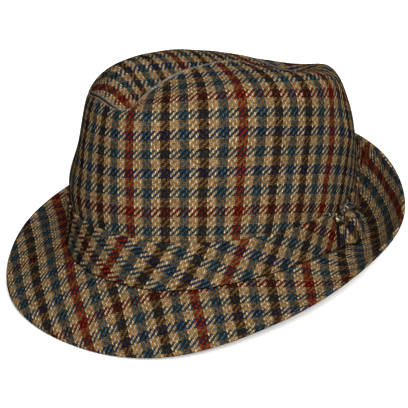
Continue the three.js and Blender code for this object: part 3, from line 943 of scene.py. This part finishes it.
class TrilbySizes(bpy.types.PropertyGroup):
    """Sizes of the cloth and its seams"""

    warp_pitch: length_property("Warp pitch", "Distance between threads that run up the crown", 0.000882)
    weft_pitch: length_property("Weft pitch", "Distance between threads that run round it", 0.000978)
    thread_relief: length_property("Thread relief", "Height of a thread over its neighbours", 0.0004)
    lip_height: length_property("Lip height", "Height of the roll on each side of the crown's seam", 0.0008)
    lip_width: length_property("Lip width", "Distance of each roll from the seam's line", 0.0012)
    groove_depth: length_property("Groove depth", "Depth of the seam's line between the two rolls", 0.0008)


class TrilbyColors(bpy.types.PropertyGroup):
    """Colours of the threads and the floor"""

    cream: color_property("Cream", "Ground threads that run up the crown", (0.25, 0.185, 0.108))
    tan: color_property("Tan", "Ground threads that run round the crown", (0.3, 0.165, 0.058))
    rust: color_property("Rust", "Threads of the widest spaced stripe", (0.105, 0.0105, 0.0055))
    dark: color_property("Dark", "Brown threads that run up the crown", (0.022, 0.0125, 0.009))
    teal: color_property("Teal", "Green-blue threads of the check", (0.026, 0.043, 0.05))
    navy: color_property("Navy", "Blue threads that run round the crown", (0.02, 0.028, 0.06))
    # Pressed cloth on the seam's lips, partly real and partly a painted highlight
    pressed_and_highlight: color_property("Pressed", "Cloth pressed flat beside the crown's seam", (0.095, 0.087, 0.075))
    # Painted shade in the crown's seam groove and the knot's slit
    groove: color_property("Groove", "Shade in the crown's seam and the knot's slit", (0.005, 0.004, 0.003))
    floor: color_property("Floor", "Plain floor under the hat", (0.9, 0.9, 0.9))


class TrilbyLooks(bpy.types.PropertyGroup):
    """How the cloth takes light"""

    warp_light: share_property("Warp light", "Share of the light on threads that run up the crown", 1.0)
    low_light: share_property("Low light", "The same for every other thread that runs up the crown", 0.55)
    weft_light: share_property("Weft light", "Share of the light on threads that run round the crown", 0.46)
    covered_light: share_property("Covered light", "The same where they cross the coloured stripes", 0.22)
    gap_light: share_property("Gap light", "Share of the light between two threads", 0.22)
    float_end: share_property("Float end", "Height of a thread where it goes under, as a share", 0.3)
    stitch_change: share_property("Stitch change", "Difference in light from one float to the next", 0.4)
    fibre_change: share_property("Fibre change", "Light and shade of single fibres", 0.7)
    cloud_change: share_property("Cloud change", "Slow light and shade over the cloth", 0.2)
    fibre_scale: scale_property("Fibre scale", "Fibres to the millimetre", 1.6)
    cloud_scale: scale_property("Cloud scale", "Clouds to the millimetre", 0.09)
    sway: length_property("Sway", "How far the threads bend aside", 0.0008)
    sway_scale: scale_property("Sway scale", "Bends to the millimetre", 0.05)
    wobble: length_property("Wobble", "How far a float is out of line", 0.00035)
    wobble_scale: scale_property("Wobble scale", "Floats out of line to the millimetre", 0.6)
    # Share of the pressed colour with its painted highlight on the seam's lips
    pressed_and_highlight: share_property("Pressed", "Share of the weave that is lost beside the crown's seam", 0.55)
    roughness: share_property("Roughness", "Roughness of the wool", 0.92)
    gloss: share_property("Gloss", "Strength of the plain reflection", 0.0)
    fuzz: share_property("Fuzz", "Strength of the sheen of loose fibres", 0.0)


# Operators
def dress(context, piece, node, slot, seamed=False):
    """Gives a piece its cloth and names its place in the frame."""
    scene = context.scene
    cloth = cloth_material(slot, scene.trilby_sizes, scene.trilby_colors, scene.trilby_looks, seamed)
    piece.data.materials.append(cloth)
    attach(piece, "root")
    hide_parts(node)


class TRILBY_OT_crown(bpy.types.Operator):
    """Builds the side and the tip of the crown"""

    bl_idname = "trilby.crown"
    bl_label = "Crown"

    def execute(self, context):
        sizes = context.scene.trilby_sizes
        dress(context, build_crown_side(sizes), "crown_side", "crown_side_cloth", seamed=True)
        dress(context, build_crown_tip(sizes), "crown_tip", "crown_tip_cloth", seamed=True)
        return {"FINISHED"}


class TRILBY_OT_brim(bpy.types.Operator):
    """Builds the brim"""

    bl_idname = "trilby.brim"
    bl_label = "Brim"

    def execute(self, context):
        dress(context, build_brim(), "brim", "brim_cloth")
        return {"FINISHED"}


class TRILBY_OT_band(bpy.types.Operator):
    """Builds the band and its knot"""

    bl_idname = "trilby.band"
    bl_label = "Band and Knot"

    def execute(self, context):
        dress(context, build_band(), "hat_band", "band_cloth")
        # The knot takes the seam's colours for the painted shade in its slit
        dress(context, build_knot(), "bow_knot", "knot_cloth", seamed=True)
        return {"FINISHED"}


# Stage: angles in degrees, the camera's distance and sensor in millimetres, its image in pixels,
# and the places and sizes of the floor and the lights in metres
CAMERA_TURN = 40.0
CAMERA_RISE = 23.5
CAMERA_ROLL = 0.4
CAMERA_DISTANCE = 1500.0
CAMERA_CLIP = 20
PIXELS_PER_MM = 1.59
IMAGE_SIZE = 408
ORIGIN_AT = (215.3, 226.6)
SENSOR = 36.0
FLOOR_REACH = 4.0
FLOOR_DROP = 0.0005
FLOOR_ROUGHNESS = 0.9
WORLD_COLOR = (1, 1, 1, 1)
WORLD_STRENGTH = 0.18
LIGHT_TARGET = (0, 0, 0.05)
LIGHTS = [
    dict(name="key", place=(1.18, -1.1, 1.18), size=1.2, power=131, color=(1, 0.98, 0.95)),
    dict(name="back", place=(0, 1.9, 1.2), size=1.6, power=40, color=(1, 1, 1)),
]


def build_floor(color):
    """A floor just under the hat, which throws no light back up at it."""
    mesh = bpy.data.meshes.new("floor")
    corners = [(x * FLOOR_REACH, y * FLOOR_REACH, 0) for x, y in ((-1, -1), (1, -1), (1, 1), (-1, 1))]
    mesh.from_pydata(corners, [], [(0, 1, 2, 3)])
    mesh.materials.append(plain_material("floor", color, FLOOR_ROUGHNESS))
    floor = bpy.data.objects.new("floor", mesh)
    floor.location.z = -FLOOR_DROP
    floor.visible_diffuse = False
    bpy.context.scene.collection.objects.link(floor)


def build_world():
    world = bpy.data.worlds.new("studio")
    world.use_nodes = True
    background = world.node_tree.nodes["Background"]
    background.inputs["Color"].default_value = WORLD_COLOR
    background.inputs["Strength"].default_value = WORLD_STRENGTH
    bpy.context.scene.world = world


def area_light(name, place, size, power, color):
    light = bpy.data.lights.new(name, "AREA")
    light.shape = "DISK"
    light.size = size
    light.energy = power
    light.color = color
    lamp = bpy.data.objects.new(name, light)
    lamp.location = place
    lamp.rotation_euler = (Vector(LIGHT_TARGET) - Vector(place)).to_track_quat("-Z", "Y").to_euler()
    bpy.context.scene.collection.objects.link(lamp)


def camera_matrix():
    turn, rise, roll = np.radians([CAMERA_TURN, CAMERA_RISE, CAMERA_ROLL])
    right = np.array([np.cos(turn), np.sin(turn), 0])
    back = np.array([np.sin(turn) * np.cos(rise), -np.cos(turn) * np.cos(rise), np.sin(rise)])
    up = np.cross(back, right)
    x = right * np.cos(roll) + up * np.sin(roll)
    y = -right * np.sin(roll) + up * np.cos(roll)
    rest, shift = rest_pose()
    matrix = np.eye(4)
    matrix[:3, :3] = rest @ np.stack([x, y, back], -1)
    matrix[:3, 3] = rest @ back * CAMERA_DISTANCE / MM_IN_M + shift
    return Matrix(matrix.tolist())


def build_camera():
    camera = bpy.data.cameras.new("camera")
    camera.sensor_width = SENSOR
    camera.lens = SENSOR * PIXELS_PER_MM * CAMERA_DISTANCE / IMAGE_SIZE
    camera.shift_x = -(ORIGIN_AT[0] - IMAGE_SIZE / 2) / IMAGE_SIZE
    camera.shift_y = (ORIGIN_AT[1] - IMAGE_SIZE / 2) / IMAGE_SIZE
    camera.clip_end = CAMERA_CLIP
    view = bpy.data.objects.new("camera", camera)
    view.matrix_world = camera_matrix()
    bpy.context.scene.collection.objects.link(view)
    bpy.context.scene.camera = view


class TRILBY_OT_stage(bpy.types.Operator):
    """Builds the floor, the lights and the camera"""

    bl_idname = "trilby.stage"
    bl_label = "Stage"

    def execute(self, context):
        build_floor(context.scene.trilby_colors.floor)
        build_world()
        for lamp in LIGHTS:
            area_light(**lamp)
        build_camera()
        context.scene.view_settings.view_transform = "Standard"
        return {"FINISHED"}


OPERATORS = (TRILBY_OT_crown, TRILBY_OT_brim, TRILBY_OT_band, TRILBY_OT_stage)


class TRILBY_PT_panel(bpy.types.Panel):
    """Sizes, colours and the steps that build the hat"""

    bl_label = "Trilby Hat"
    bl_idname = "TRILBY_PT_panel"
    bl_space_type = "VIEW_3D"
    bl_region_type = "UI"
    bl_category = "Trilby"

    def draw(self, context):
        layout = self.layout
        for group in (context.scene.trilby_sizes, context.scene.trilby_colors, context.scene.trilby_looks):
            for key in group.__annotations__:
                layout.prop(group, key)
        for operator in OPERATORS:
            layout.operator(operator.bl_idname)


CLASSES = (TrilbySizes, TrilbyColors, TrilbyLooks) + OPERATORS + (TRILBY_PT_panel,)


def register():
    for cls in CLASSES:
        bpy.utils.register_class(cls)
    bpy.types.Scene.trilby_sizes = PointerProperty(type=TrilbySizes)
    bpy.types.Scene.trilby_colors = PointerProperty(type=TrilbyColors)
    bpy.types.Scene.trilby_looks = PointerProperty(type=TrilbyLooks)


def unregister():
    del bpy.types.Scene.trilby_looks
    del bpy.types.Scene.trilby_colors
    del bpy.types.Scene.trilby_sizes
    for cls in reversed(CLASSES):
        bpy.utils.unregister_class(cls)


def main():
    register()
    bpy.ops.trilby.crown()
    bpy.ops.trilby.brim()
    bpy.ops.trilby.band()
    bpy.ops.trilby.stage()
    bpy.context.view_layer.update()


if __name__ == "__main__":
    main()
